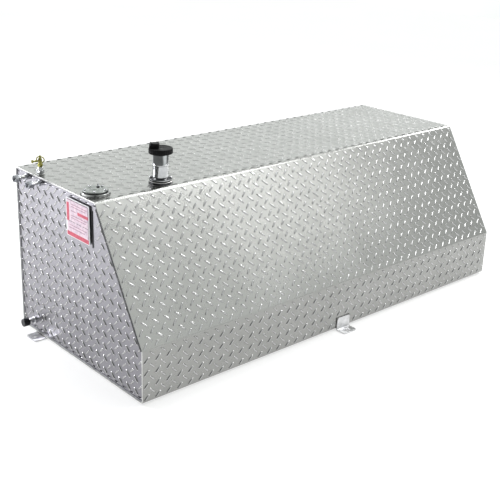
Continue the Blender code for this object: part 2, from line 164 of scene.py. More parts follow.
def treadSheet(name, light, dark, roughness, grain):
    f = Finish(name, light, roughness, 1.0)
    f.blotches(f.noise(7, 6, distortion=0.6), dark, light)
    f.gloss(f.noise(30, 5), roughness - 0.05, roughness + 0.08)
    f.bump(f.noise(2.4, 2), 0.0045, 0.5)         # slow waves of the rolled sheet
    f.bump(f.noise(26, 4, grain), 0.00010, 0.6)   # rolling marks
    f.bump(f.noise(900, 3), 0.00003, 0.5)         # fine mill texture
    return f.material


def plainAluminium(name, colour, roughness):
    f = Finish(name, colour, roughness, 1.0)
    f.blotches(f.noise(60, 5), tuple(c * 0.78 for c in colour), colour, 0.35, 0.65)
    f.gloss(f.noise(140, 4), roughness - 0.08, roughness + 0.12)
    f.bump(f.noise(50, 4, (1, 14, 14)), 0.0001, 0.5)
    f.bump(f.noise(1100, 3), 0.00003, 0.5)
    return f.material


def metal(name, dark, light, roughLow, roughHigh, patch=180, relief=0.00003):
    f = Finish(name, light, roughLow, 1.0)
    f.blotches(f.noise(patch, 5), dark, light)
    f.gloss(f.noise(patch * 1.8, 4), roughLow, roughHigh)
    f.bump(f.noise(900, 3), relief, 0.5)
    return f.material


def moulded(name, dark, light, roughLow, roughHigh, relief=0.00005, specular=0.5):
    f = Finish(name, dark, roughLow, 0.0)
    f.shader.inputs["Specular IOR Level"].default_value = specular
    f.blotches(f.noise(120, 5), dark, light, 0.35, 0.75)
    f.gloss(f.noise(260, 4), roughLow, roughHigh)
    f.bump(f.noise(1500, 3), relief, 0.6)
    return f.material


finishes = {
    # The tread copies are one plate in different tones: the end plates a darker bluish copy as painted
    # shade, the lugs a lighter copy as painted sheen, the top lugs a darker lug copy as painted shade
    "wrap": treadSheet("treadSheet", (0.352, 0.354, 0.343), (0.326, 0.328, 0.317), 0.27, (1, 40, 40)),
    "ends": treadSheet("treadSheetEndsShaded", (0.306, 0.300, 0.325), (0.272, 0.266, 0.288), 0.28, (40, 40, 1)),
    "topLugs": treadSheet("treadLugsTopShaded", (0.40, 0.40, 0.395), (0.35, 0.35, 0.345), 0.30, (30, 30, 30)),
    "lugs": treadSheet("treadLugsLit", (0.50, 0.50, 0.50), (0.42, 0.42, 0.42), 0.19, (30, 30, 30)),
    "plain": plainAluminium("plainAluminium", (0.72, 0.72, 0.73), 0.34),
    "turned": plainAluminium("turnedAluminium", (0.42, 0.43, 0.42), 0.30),
    # bare cut metal made far brighter than the sheet as a painted highlight
    "cutEdgeHighlight": plainAluminium("cutEdgePaintedHighlight", (0.86, 0.86, 0.84), 0.36),
    # painted light on the recess walls and end welds, where shade would fall
    "paintedLightRecess": moulded("recessPaintedLight", (0.42, 0.42, 0.44), (0.58, 0.58, 0.60), 0.45, 0.60),
    # painted shadow: near-black finish for the gap between wrap and end plate along the slope
    "seamShadow": moulded("shadowSeam", (0.030, 0.032, 0.033), (0.060, 0.062, 0.064), 0.50, 0.65),
    # dark steel, also used as painted shade on the filler neck's flange top
    "darkSteelAndShade": metal("blackenedSteelAndShade", (0.03, 0.03, 0.033), (0.07, 0.07, 0.075), 0.25, 0.45),
    "weld": metal("weldBead", (0.07, 0.07, 0.07), (0.30, 0.30, 0.29), 0.25, 0.50, 220, 0.0002),
    "chrome": metal("chromePlate", (0.44, 0.45, 0.46), (0.54, 0.55, 0.56), 0.06, 0.14, 90, 0.00001),
    "steel": metal("zincSteel", (0.26, 0.27, 0.29), (0.46, 0.47, 0.50), 0.20, 0.40),
    "screw": metal("screwSteel", (0.60, 0.60, 0.62), (0.85, 0.85, 0.87), 0.10, 0.28),
    "senderPlate": metal("senderPlateSteel", (0.20, 0.215, 0.205), (0.31, 0.325, 0.31), 0.22, 0.42),
    "brass": metal("machinedBrass", (0.20, 0.19, 0.05), (0.38, 0.36, 0.11), 0.20, 0.38, 160),
    "plastic": moulded("blackPlastic", (0.004, 0.004, 0.004), (0.010, 0.010, 0.011), 0.42, 0.60,
                       specular=0.12),
    "foam": moulded("floatFoam", (0.020, 0.020, 0.020), (0.050, 0.050, 0.050), 0.70, 0.85, 0.0002),
    "rubber": moulded("blackRubber", (0.008, 0.008, 0.008), (0.026, 0.025, 0.024), 0.60, 0.78, 0.00006),
}
print("finishes made:", len(finishes))


# Workshop tools shared by all pieces
def clearSelection():
    if bpy.context.mode != "OBJECT":
        bpy.ops.object.mode_set(mode="OBJECT")
    bpy.ops.object.select_all(action="DESELECT")


def choose(piece):
    clearSelection()
    piece.select_set(True)
    bpy.context.view_layer.objects.active = piece


def started(kind, name, **options):
    clearSelection()
    getattr(bpy.ops.mesh, "primitive_" + kind + "_add")(**options)
    piece = bpy.context.object
    piece.name = piece.data.name = name
    bpy.ops.object.transform_apply(location=True, rotation=True, scale=True)
    return piece


def block(name, low, high):
    size = [high[i] - low[i] for i in range(3)]
    centre = [(high[i] + low[i]) / 2 for i in range(3)]
    return started("cube", name, size=1, location=centre, scale=size)


def pick(piece, kind, test):
    # Edit mode with only the faces or edges that pass the test selected
    choose(piece)
    bpy.ops.object.mode_set(mode="EDIT")
    bpy.ops.mesh.select_mode(type="FACE" if kind == "faces" else "EDGE")
    bpy.ops.mesh.select_all(action="DESELECT")
    mesh = bmesh.from_edit_mesh(piece.data)
    found = [part for part in getattr(mesh, kind) if test(part)]
    for part in found:
        part.select_set(True)
    bmesh.update_edit_mesh(piece.data)


def editAll():
    bpy.ops.object.mode_set(mode="EDIT")
    bpy.ops.mesh.select_all(action="SELECT")


def closeEdit():
    bpy.ops.mesh.select_all(action="SELECT")
    bpy.ops.mesh.normals_make_consistent(inside=False)
    bpy.ops.object.mode_set(mode="OBJECT")


def turned(name, profile, sides=64, hollow=False, spin=0.0):
    # A lathe about Z: a circle extruded from ring to ring of (radius, height)
    piece = started("circle", name, vertices=sides, radius=profile[0][0],
                    fill_type="NOTHING" if hollow else "NGON",
                    location=(0, 0, profile[0][1]), rotation=(0, 0, spin))
    editAll()
    radius, height = profile[0]
    for nextRadius, nextHeight in profile[1:] + (profile[:1] if hollow else []):
        bpy.ops.mesh.extrude_region_move(TRANSFORM_OT_translate={"value": (0, 0, nextHeight - height)})
        if nextRadius != radius:
            grow = nextRadius / radius
            bpy.ops.transform.resize(value=(grow, grow, 1), center_override=(0, 0, nextHeight))
        radius, height = nextRadius, nextHeight
    bpy.ops.mesh.select_all(action="SELECT")
    bpy.ops.mesh.remove_doubles(threshold=1e-6)
    closeEdit()
    return piece


def place(piece, spot, facing=(0, 0, 1), roll=0.0):
    turn = Vector((0, 0, 1)).rotation_difference(Vector(facing)).to_matrix().to_4x4()
    piece.matrix_world = Matrix.Translation(Vector(spot)) @ turn @ Matrix.Rotation(roll, 4, "Z")
    choose(piece)
    bpy.ops.object.transform_apply(location=True, rotation=True, scale=True)
    return piece


def apply(piece, kind, **settings):
    choose(piece)
    modifier = piece.modifiers.new(kind.lower(), kind)
    for key, value in settings.items():
        setattr(modifier, key, value)
    bpy.ops.object.modifier_apply(modifier=modifier.name)
    return piece


def soften(piece, width, segments=2, angle=35):
    apply(piece, "BEVEL", width=width, segments=segments, limit_method="ANGLE",
          angle_limit=math.radians(angle), use_clamp_overlap=True, loop_slide=False)


def combine(piece, other, operation):
    apply(piece, "BOOLEAN", object=other, operation=operation, solver="EXACT")
    bpy.data.objects.remove(other)


def cutAway(piece, cutter):
    combine(piece, cutter, "DIFFERENCE")


def fuse(piece, other):
    combine(piece, other, "UNION")


def drill(piece, radius, start, end, spot, facing=(0, 0, 1), sides=40):
    cutAway(piece, place(turned("drill", [(radius, start), (radius, end)], sides), spot, facing))


def copyOf(piece, name):
    twin = piece.copy()
    twin.data = piece.data.copy()
    twin.name = twin.data.name = name
    bpy.context.scene.collection.objects.link(twin)
    return twin


def joined(name, pieces):
    clearSelection()
    for piece in pieces:
        piece.select_set(True)
    bpy.context.view_layer.objects.active = pieces[0]
    bpy.ops.object.join()
    pieces[0].name = pieces[0].data.name = name
    return pieces[0]


def repeated(name, pattern, frames):
    # Copies of a pattern piece, one at each frame, in one mesh
    piece = copyOf(pattern, name)
    mesh = bmesh.new()
    for placing in frames:
        before = len(mesh.verts)
        mesh.from_mesh(pattern.data)
        mesh.verts.ensure_lookup_table()
        bmesh.ops.transform(mesh, matrix=placing, verts=mesh.verts[before:])
    mesh.to_mesh(piece.data)
    mesh.free()
    return piece


def ringOf(name, pattern, count, radius):
    # Copies of a pattern piece in a circle round Z
    frames = []
    for k in range(count):
        a = 2 * math.pi * k / count
        frames.append(Matrix.Translation((radius * math.cos(a), radius * math.sin(a), 0)))
    ring = repeated(name, pattern, frames)
    bpy.data.objects.remove(pattern)
    return ring


def runsAlong(edge, axis):
    a, b = (vertex.co for vertex in edge.verts)
    return all(abs(a[i] - b[i]) < 1e-5 for i, name in enumerate("xyz") if name != axis)


def liesOn(edge, y, z):
    return all(abs(v.co.y - y) < 1e-4 and abs(v.co.z - z) < 1e-4 for v in edge.verts)


def roundedCorners(piece, radius, test):
    pick(piece, "edges", test)
    bpy.ops.mesh.bevel(offset=radius, segments=6, affect="EDGES", offset_type="OFFSET")
    bpy.ops.object.mode_set(mode="OBJECT")


def done(piece, finish, body, nodes=(), smooth=32):
    choose(piece)
    bpy.ops.object.transform_apply(location=True, rotation=True, scale=True)
    piece.data.materials.clear()
    piece.data.materials.append(finishes[finish] if isinstance(finish, str) else finish)
    bpy.ops.object.shade_smooth_by_angle(angle=math.radians(smooth))
    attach(piece, body)
    if nodes:
        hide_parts(*nodes)
    return piece


def paint(piece, finish, test):
    # Another finish on the faces that pass the test
    piece.data.materials.append(finishes[finish])
    for face in piece.data.polygons:
        if test(face):
            face.material_index = len(piece.data.materials) - 1


def fitting(name, profile, sides, spot, finish, nodes, facing=(0, 0, 1), body="tank",
            hollow=True, smooth=32):
    piece = place(turned(name, profile, sides, hollow=hollow), spot, facing)
    return done(piece, finish, body, nodes, smooth)


def hexFitting(name, profile, spot, finish, nodes, facing=(0, 0, 1), spin=0.0, bore=(), boreSides=40):
    piece = place(turned(name, profile, 6, spin=spin), spot, facing)
    if bore:
        cutAway(piece, place(turned("bore", bore, boreSides), spot, facing))
    soften(piece, 0.0003, 2)
    done(piece, finish, "tank", nodes)


# Wrap: one sheet bent round the tank, open at both ends
def buildWrap():
    wrap = block("tank_wrap_sheet", at(0, 0, 0), at(shell["length"], shell["depth"], shell["height"]))
    editAll()
    bpy.ops.mesh.bisect(plane_co=at(0, 0, shell["frontHeight"]), plane_no=(0, -slopeRise, slopeRun),
                        use_fill=True, clear_outer=True)
    pick(wrap, "faces", lambda face: abs(face.normal.x) > 0.9)
    bpy.ops.mesh.delete(type="ONLY_FACE")
    for (y, z), bendTurn, radius in bends:
        spot = at(0, y, z)
        pick(wrap, "edges", lambda edge: liesOn(edge, spot.y, spot.z))
        bpy.ops.mesh.bevel(offset=radius * math.tan(bendTurn / 2), segments=shell["bendSteps"],
                           affect="EDGES", offset_type="OFFSET")
    closeEdit()
    apply(wrap, "SOLIDIFY", thickness=shell["sheet"], offset=-1)
    soften(wrap, shell["softEdge"], 2, 60)
    for node, radius in shell["holes"].items():
        drill(wrap, radius, -0.03, 0.03, middleOf(node), sides=48)
    done(wrap, "wrap", "tank", ["tank_wrap"], 20)
    # The cut ends are bare metal kept bright above and behind as a painted highlight, with painted shadow
    # along the slope; the lip's inside past each end plate is painted light
    ridge, knee = at(0, slopeRun - shell["shadedEdgeStop"], 0).y, at(0, 0, shell["frontHeight"]).z
    lip = at(shell["length"] - shell["plateInset"] - shell["lipOverlap"], 0, 0).x
    inner = middleOf("tank_wrap")
    paint(wrap, "cutEdgeHighlight", lambda face: abs(face.normal.x) > 0.5)
    # painted shadow on the cut edge along the slope
    paint(wrap, "seamShadow", lambda face: abs(face.normal.x) > 0.95
          and face.center.y < ridge and face.center.z > knee)
    # painted light on the lip's inner faces past each end plate
    paint(wrap, "paintedLightRecess", lambda face: abs(face.normal.x) <= 0.5 and abs(face.center.x) > lip
          and (face.center - inner).dot(face.normal) < 0)


# Tread: raised lugs in two slanted rows, laid over each face and trimmed at its edges
tread = {
    "pitch": 0.0345, "length": 0.0245, "width": 0.0062, "rise": 0.0022, "sink": 0.0004, "sides": 10,
    "edge": 0.004, "leastLeft": 0.0015,
    # left clear before the first row, and before and after the rows together
    "clear": {"top": (0.008, 0.021), "slope": (0.005, 0.013),
              "front": (0.010, 0.016), "back": (0.013, 0.026)},
    "topFittings": {"filler_weld_ring": 0.036, "sender_weld_ring": 0.040, "valve_bung": 0.015},
    "endFittings": {"port_fitting_rear": 0.016, "port_fitting_front": 0.016, "drain_nipple": 0.018},
}


def buildLugPair():
    lug = started("circle", "lug", vertices=tread["sides"], radius=0.5, fill_type="NGON",
                  location=(0, 0, -tread["sink"]))
    editAll()
    bpy.ops.transform.resize(value=(tread["length"], tread["width"], 1), center_override=(0, 0, 0))
    for lift, long, wide in ((tread["sink"] + tread["rise"] * 0.62, 0.93, 0.74),
                             (tread["rise"] * 0.38, 0.80, 0.45)):
        bpy.ops.mesh.extrude_region_move(TRANSFORM_OT_translate={"value": (0, 0, lift)})
        bpy.ops.transform.resize(value=(long, wide, 1), center_override=(0, 0, 0))
    closeEdit()
    other = copyOf(lug, "otherLug")
    half = tread["pitch"] / 2
    place(lug, (half / 2, half / 2, 0), roll=math.radians(45))
    place(other, (half * 1.5, half * 1.5, 0), roll=math.radians(-45))
    return joined("lugPair", [lug, other])


def buildTread(name, pair, origin, across, up, width, height, notches=(), trims=(), finish="lugs", lift=1.0):
    # Lugs over a face from its corner `origin`, `across` and `up` along its sides
    pitch = tread["pitch"]
    sheet = copyOf(pair, name)
    across, up = Vector(across).normalized(), Vector(up).normalized()
    counts = (math.ceil(width / pitch), math.ceil(height / pitch))
    for axis, count in enumerate(counts):
        step = [0, 0, 0]
        step[axis] = pitch
        apply(sheet, "ARRAY", use_relative_offset=False, use_constant_offset=True,
              constant_offset_displace=step, count=count)
    start = ((width - counts[0] * pitch) / 2, (height - counts[1] * pitch) / 2)
    turn = Matrix((across, up, across.cross(up))).transposed().to_4x4()
    sheet.matrix_world = (Matrix.Translation(origin) @ turn @ Matrix.Translation((start[0], start[1], 0))
                          @ Matrix.Diagonal((1, 1, lift, 1)))
    choose(sheet)
    bpy.ops.object.transform_apply(location=True, rotation=True, scale=True)
    sides = [(origin, -across), (origin + across * width, across), (origin, -up), (origin + up * height, up)]
    bpy.ops.object.mode_set(mode="EDIT")
    mesh = bmesh.from_edit_mesh(sheet.data)
    mesh.verts.ensure_lookup_table()
    waste = []
    perLug = tread["sides"] * 3
    for first in range(0, len(mesh.verts), perLug):
        lug = mesh.verts[first:first + perLug]
        # A lug past an edge or under a fitting goes; one that crosses an edge is cut square there
        gone = any(test(vertex.co) for test in notches for vertex in lug)
        for spot, outward in sides + list(trims):
            past = [(vertex.co - spot).dot(outward) for vertex in lug]
            gone = gone or min(past) > -tread["leastLeft"]
            for vertex, over in zip(lug, past):
                if over > 0:
                    vertex.co -= outward * over
        if gone:
            waste += lug
    bmesh.ops.delete(mesh, geom=waste, context="VERTS")
    bmesh.update_edit_mesh(sheet.data)
    bpy.ops.object.mode_set(mode="OBJECT")
    return done(sheet, finish, "tank", smooth=70)


def near(node, reach, first=0, second=1):
    spot = middleOf(node)
    return lambda co: math.hypot(co[first] - spot[first], co[second] - spot[second]) < reach


def around(node, below, above):
    low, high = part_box(node)
    low, high = low - Vector(below), high + Vector(above)
    return lambda co: all(low[i] < co[i] < high[i] for i in range(3))


def buildAllTread():
    pair = buildLugPair()
    length, depth, height, knee = shell["length"], shell["depth"], shell["height"], shell["frontHeight"]
    edge = tread["edge"]
    width = length - 2 * edge
    topFittings = [near(node, reach) for node, reach in tread["topFittings"].items()]
    slopeUp = Vector((0, slopeRun, slopeRise)).normalized()
    slopeOut = Vector((0, -slopeRise, slopeRun)).normalized()
    before, both = tread["clear"]["top"]
    # the top lugs take the darker lug copy, painted shade
    buildTread("tread_top", pair, at(edge, slopeRun + before, height), (1, 0, 0), (0, 1, 0),
               width, shell["topDepth"] - both, topFittings, finish="topLugs", lift=0.5)
    before, both = tread["clear"]["slope"]
    buildTread("tread_slope", pair, at(edge, 0, knee) + slopeUp * before, (1, 0, 0), slopeUp,
               width, slopeLength - both)
    before, both = tread["clear"]["front"]
    buildTread("tread_front", pair, at(edge, 0, before), (1, 0, 0), (0, 0, 1),
               width, knee - both,
               [around("bracket_front", (0.003, 0.01, 0.01), (0.003, 0.01, 0.003))])
    before, both = tread["clear"]["back"]
    buildTread("tread_back", pair, at(length - edge, depth, before), (-1, 0, 0), (0, 0, 1),
               width, height - both,
               [around("bracket_rear", (0.003, 0.01, 0.01), (0.003, 0.01, 0.003))])
    inset, inside = shell["plateInset"], shell["sheet"] + 0.003
    slopeTrim = [(at(0, 0, knee) - slopeOut * (inside + 0.001), slopeOut)]
    bottomLug = inside + 0.006
    endWidth, endHeight = depth - 2 * inside, height - 2 * bottomLug
    notches = [near(node, reach, 1, 2) for node, reach in tread["endFittings"].items()]
    for node in ("label_plate", "label_edge_strip"):
        notches.append(around(node, (0.01, 0.001, 0.001), (0.01, 0.001, 0.001)))
    buildTread("tread_left", pair, at(inset, depth - inside, bottomLug), (0, -1, 0), (0, 0, 1),
               endWidth, endHeight, notches, slopeTrim)
    buildTread("tread_right", pair, at(length - inset, inside, bottomLug), (0, 1, 0), (0, 0, 1),
               endWidth, endHeight, (), slopeTrim)
    bpy.data.objects.remove(pair)


buildWrap()
print("wrap bent")
buildAllTread()
print("tread laid")


# Weld beads: one puddle, overlapped along each seam
bead = {
    "across": 0.0042, "along": 0.0036, "rise": 0.0016, "sink": 0.0008, "step": 0.0026, "sides": 8,
    "standOff": 0.0012, "endLean": 0.9, "crownShift": 0.16,
    # along the slope the bead is spread flat and set in from the sheet, a dark strip of painted shadow in
    # the gap
    "seamShadowShift": 0.0045, "seamShadowSize": (1, 2.3, 0.8, 1), "seamShadowStop": 0.004,
    "rings": (  # name, round which node, radius, width and height of a puddle
        ("filler_weld_bead", "filler_weld_ring", 0.0312, 0.8),
        ("sender_weld_bead", "sender_weld_ring", 0.0372, 0.8),
        ("valve_weld_bead", "valve_bung", 0.0112, 0.55),
    ),
    "ringLift": 0.0002, "bracketSize": (0.9, 0.85, 0.85, 1), "bracketFoot": 0.008, "bracketOut": 0.0004,
}


def buildPuddle():
    puddle = started("circle", "puddle", vertices=bead["sides"], radius=0.5, fill_type="NGON",
                     location=(0, 0, -bead["sink"]))
    editAll()
    bpy.ops.transform.resize(value=(bead["along"], bead["across"], 1), center_override=(0, 0, 0))
    for lift, grow in ((bead["sink"] + bead["rise"] * 0.55, 0.86), (bead["rise"] * 0.45, 0.45)):
        bpy.ops.mesh.extrude_region_move(TRANSFORM_OT_translate={"value": (0, 0, lift)})
        bpy.ops.transform.resize(value=(grow, grow, 1), center_override=(0, 0, 0))
    # The crown leans along the seam
    bpy.ops.transform.translate(value=(bead["along"] * bead["crownShift"], 0, 0))
    closeEdit()
    return puddle


def frameOf(spot, along, outward):
    outward = outward.normalized()
    along = (along - outward * along.dot(outward)).normalized()
    turn = Matrix((along, outward.cross(along), outward)).transposed().to_4x4()
    return Matrix.Translation(spot) @ turn


def sectionPath(inset, step):
    # Points, directions and outward normals round the shell's section, `inset` from its skin
    outline = []
    for i, (cornerPlace, turn, radius) in enumerate(bends):
        here = Vector(cornerPlace)
        before = (here - Vector(bends[i - 1][0])).normalized()
        inward = Vector((before.y, -before.x))
        centre = here - before * radius * math.tan(turn / 2) + inward * radius
        for k in range(shell["bendSteps"] + 1):
            a = turn * k / shell["bendSteps"]
            out = -inward * math.cos(a) + before * math.sin(a)
            outline.append(centre + out * (radius - inset))
    frames = []
    carried = 0.0
    for i, start in enumerate(outline):
        end = outline[(i + 1) % len(outline)]
        run = (end - start).length
        along = (end - start) / run
        while carried < run:
            spot = start + along * carried
            frames.append((spot, along, Vector((-along.y, along.x))))
            carried += step
        carried -= run
    return frames


def roundPath(spot, radius, step, tilt):
    count = int(2 * math.pi * radius / step)
    frames = []
    for k in range(count):
        a = 2 * math.pi * k / count
        out = Vector((math.cos(a), math.sin(a), 0))
        frames.append(frameOf(spot + out * radius, Vector((-out.y, out.x, 0)), out + Vector((0, 0, tilt))))
    return frames


def beadRow(start, end, outward):
    # Frames in a straight row that runs along X, Y or Z
    run = [b - a for a, b in zip(start, end)]
    count = int(sum(run) / bead["step"])
    frames = []
    for k in range(count + 1):
        spot = Vector([a + length * k / count for a, length in zip(start, run)])
        frames.append(frameOf(spot, Vector(run), Vector(outward)))
    return frames


def buildEndWeld(puddle, side, x, facing):
    frames, seamShadow = [], []
    endOut = Vector((facing, 0, 0))
    for spot, along, out in sectionPath(shell["sheet"] + bead["standOff"], bead["step"]):
        here = at(x, spot.x, spot.y)
        inward = Vector((0, -out.x, -out.y))
        run = Vector((0, along.x, along.y))
        # along the slope the puddles form the dark strip of painted shadow; elsewhere they are the weld
        if spot.x < slopeRun - bead["seamShadowStop"] and spot.y > shell["frontHeight"]:
            placing = frameOf(here + inward * bead["seamShadowShift"], run, endOut)
            seamShadow.append(placing @ Matrix.Diagonal(bead["seamShadowSize"]))
        else:
            frames.append(frameOf(here, run, endOut + inward * bead["endLean"]))
    # the end welds take the painted-light recess finish, the slope strip the painted-shadow finish
    done(repeated("weld_" + side, puddle, frames), "paintedLightRecess", "tank", ["end_weld_" + side], 60)
    done(repeated("seam_" + side, puddle, seamShadow), "seamShadow", "tank", (), 60)


def buildWelds():
    puddle = buildPuddle()
    inset = shell["plateInset"] - bead["standOff"]
    buildEndWeld(puddle, "left", inset, -1)
    buildEndWeld(puddle, "right", shell["length"] - inset, 1)
    for name, node, radius, size in bead["rings"]:
        spot = onTop(node) + Vector((0, 0, bead["ringLift"]))
        frames = [placing @ Matrix.Diagonal((0.9, size, size, 1))
                  for placing in roundPath(spot, radius, bead["step"], 1.0)]
        done(repeated(name, puddle, frames), "weld", "tank", (), 60)
    frames = []
    for node, outward in (("bracket_front", -1), ("bracket_rear", 1)):
        low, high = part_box(node)
        wall = high.y if outward < 0 else low.y
        frames += beadRow((low.x, wall, high.z), (high.x, wall, high.z), (0, outward, 1))
        out, foot = wall + outward * bead["bracketOut"], low.z + bead["bracketFoot"]
        for x, side in ((low.x, -1), (high.x, 1)):
            frames += beadRow((x, out, foot), (x, out, high.z), (side, outward, 0))
    for node, outward in (("tab_left", -1), ("tab_right", 1)):
        low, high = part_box(node)
        x = at(0, 0, 0).x if outward < 0 else at(shell["length"], 0, 0).x
        frames += beadRow((x, low.y, high.z), (x, high.y, high.z), (outward, 0, 1))
    frames = [placing @ Matrix.Diagonal(bead["bracketSize"]) for placing in frames]
    done(repeated("bracket_weld_beads", puddle, frames), "weld", "tank", (), 60)
    bpy.data.objects.remove(puddle)


# Brackets: bent plate at front and back, flat tabs under the ends
bracket = {"plate": 0.004, "insideBend": 0.003, "cornerRadius": 0.007, "hole": 0.0055,
           "holeOut": 0.0215, "tabHoleOut": 0.021}


def buildBracket(node, outward):
    low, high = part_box(node)
    wall = high.y if outward < 0 else low.y
    tip = low.y if outward < 0 else high.y
    step = bracket["plate"]
    foot = block(node + "_plate", Vector((low.x, min(wall, tip), low.z)),
                 Vector((high.x, max(wall, tip), low.z + step)))
    editAll()
    bpy.ops.mesh.bisect(plane_co=(0, wall + outward * step, 0), plane_no=(0, outward, 0))
    pick(foot, "faces", lambda face: face.normal.z > 0.9
         and abs(face.calc_center_median().y - wall) < step)
    bpy.ops.mesh.extrude_region_move(TRANSFORM_OT_translate={"value": (0, 0, high.z - low.z - step)})
    for y, z, radius in ((wall + outward * step, low.z + step, bracket["insideBend"]),
                         (wall, low.z, bracket["insideBend"] + step * 0.5)):
        pick(foot, "edges", lambda edge: liesOn(edge, y, z))
        bpy.ops.mesh.bevel(offset=radius, segments=8, affect="EDGES", offset_type="OFFSET")
    roundedCorners(foot, bracket["cornerRadius"], lambda edge: runsAlong(edge, "z")
                   and abs(edge.verts[0].co.y - tip) < 1e-4)
    roundedCorners(foot, bracket["cornerRadius"], lambda edge: runsAlong(edge, "y")
                   and abs(edge.verts[0].co.z - high.z) < 1e-4)
    spot = ((low.x + high.x) / 2, wall + outward * bracket["holeOut"], low.z)
    drill(foot, bracket["hole"], -0.02, 0.02, spot)
    soften(foot, shell["softEdge"], 2)
    done(foot, "plain", "tank", [node])


def buildTab(node, outward):
    low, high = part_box(node)
    tip = low.x if outward < 0 else high.x
    wall = at(0, 0, 0).x if outward < 0 else at(shell["length"], 0, 0).x
    tab = block(node + "_plate", low, high)
    roundedCorners(tab, bracket["cornerRadius"], lambda edge: runsAlong(edge, "z")
                   and abs(edge.verts[0].co.x - tip) < 1e-4)
    spot = (wall + outward * bracket["tabHoleOut"], (low.y + high.y) / 2, low.z)
    drill(tab, bracket["hole"], -0.02, 0.02, spot)
    soften(tab, shell["softEdge"], 2)
    done(tab, "plain", "tank", [node])


# Label: a laminated plate with plain coloured bars, a backing pad and a black edge strip
label = {
    "corner": 0.004, "edge": 0.0003, "relief": 0.0002, "groundRelief": 0.00008, "sunk": 0.0002,
    "barEdge": 0.00008, "padEdge": 0.0008, "strip": (0.0006, 0.0032), "stripThick": 0.0016,
    "white": moulded("labelWhite", (0.78, 0.78, 0.80), (0.90, 0.90, 0.92), 0.30, 0.42, 0.00001),
    "face": moulded("labelFace", (0.62, 0.48, 0.58), (0.92, 0.74, 0.81), 0.30, 0.42, 0.00001),
    "red": moulded("labelRed", (0.52, 0.03, 0.08), (0.72, 0.07, 0.14), 0.30, 0.42, 0.00001),
    "row": moulded("labelRow", (0.34, 0.16, 0.24), (0.56, 0.30, 0.40), 0.34, 0.46, 0.00001),
    "line": moulded("labelLine", (0.10, 0.05, 0.08), (0.22, 0.12, 0.16), 0.34, 0.46, 0.00001),
    # name, finish, start and end across from the left, start and end down from the top
    "bars": (
        ("ground", "face", 0.05, 0.96, 0.04, 0.97), ("topLine", "line", 0.05, 0.96, 0.03, 0.05),
        ("bandLeft", "red", 0.03, 0.14, 0.12, 0.60), ("barUpper", "red", 0.50, 0.97, 0.28, 0.36),
        ("rowA", "row", 0.22, 0.90, 0.13, 0.15), ("rowB", "row", 0.22, 0.84, 0.19, 0.21),
        ("rowC", "row", 0.22, 0.44, 0.30, 0.32), ("rowD", "row", 0.22, 0.90, 0.42, 0.44),
        ("rowE", "row", 0.22, 0.86, 0.48, 0.50), ("rowF", "row", 0.12, 0.88, 0.68, 0.70),
        ("rowG", "row", 0.12, 0.80, 0.75, 0.77),
        ("dividerA", "line", 0.12, 0.40, 0.585, 0.600), ("dividerB", "line", 0.45, 0.66, 0.585, 0.600),
        ("dividerC", "line", 0.71, 0.93, 0.585, 0.600), ("bandLow", "red", 0.03, 0.97, 0.87, 0.98),
        ("rightLine", "line", 0.945, 0.965, 0.05, 0.87),
    ),
}


def buildLabel():
    low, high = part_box("label_plate")
    plate = block("label_face", low, high)
    roundedCorners(plate, label["corner"], lambda edge: runsAlong(edge, "x"))
    soften(plate, label["edge"], 2)
    done(plate, label["white"], "tank", ["label_plate"])
    wide, tall = high.y - low.y, high.z - low.z
    for name, colour, left, right, top, bottom in label["bars"]:
        raised = label["groundRelief" if name == "ground" else "relief"]
        bar = block("label_" + name, Vector((low.x - raised, high.y - right * wide, high.z - bottom * tall)),
                    Vector((low.x + label["sunk"], high.y - left * wide, high.z - top * tall)))
        soften(bar, label["barEdge"], 1)
        done(bar, label[colour], "tank", ())
    low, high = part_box("label_pad")
    pad = block("label_backing", low, high)
    soften(pad, label["padEdge"], 3)
    done(pad, "rubber", "tank", ["label_pad"])
    low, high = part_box("label_edge_strip")
    start, end = label["strip"]
    strip = block("label_strip", Vector((high.x - label["stripThick"], low.y + start, low.z)),
                  Vector((high.x, low.y + end, high.z)))
    soften(strip, shell["softEdge"], 3)
    done(strip, "rubber", "tank", ["label_edge_strip"])


# Screws: for each flange one pan head with a cross recess, copied to every screw's place
screw = {"rise": 0.0036, "slotDepth": 0.0014, "slotWidth": 0.0009, "slotReach": 0.62}


def buildScrewPattern(headRadius, shankLength):
    r, h = headRadius, screw["rise"]
    pattern = turned("screwPattern", [
        (0.0010, -shankLength), (0.0016, -shankLength + 0.0008), (0.0016, 0.0), (r * 0.96, 0.0), (r, 0.0004),
        (r, h * 0.42), (r * 0.93, h * 0.70), (r * 0.74, h * 0.90), (r * 0.45, h * 0.99), (r * 0.1, h)], 32)
    reach, half = r * screw["slotReach"], screw["slotWidth"] / 2
    for turn in (0, math.pi / 2):
        slot = block("slot", (-reach, -half, h - screw["slotDepth"]), (reach, half, h + 0.001))
        cutAway(pattern, place(slot, (0, 0, 0), roll=turn))
    return pattern


def buildScrews(group, count, headRadius, shankLength, turnStep):
    pattern = buildScrewPattern(headRadius, shankLength)
    for i in range(count):
        node = group + "_screw_" + str(i + 1)
        low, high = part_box(node)
        spot = ((low.x + high.x) / 2, (low.y + high.y) / 2, high.z - screw["rise"])
        one = place(copyOf(pattern, node + "_head"), spot, roll=turnStep * (i + 1))
        done(one, "screw", "tank", [node], 40)
    bpy.data.objects.remove(pattern)


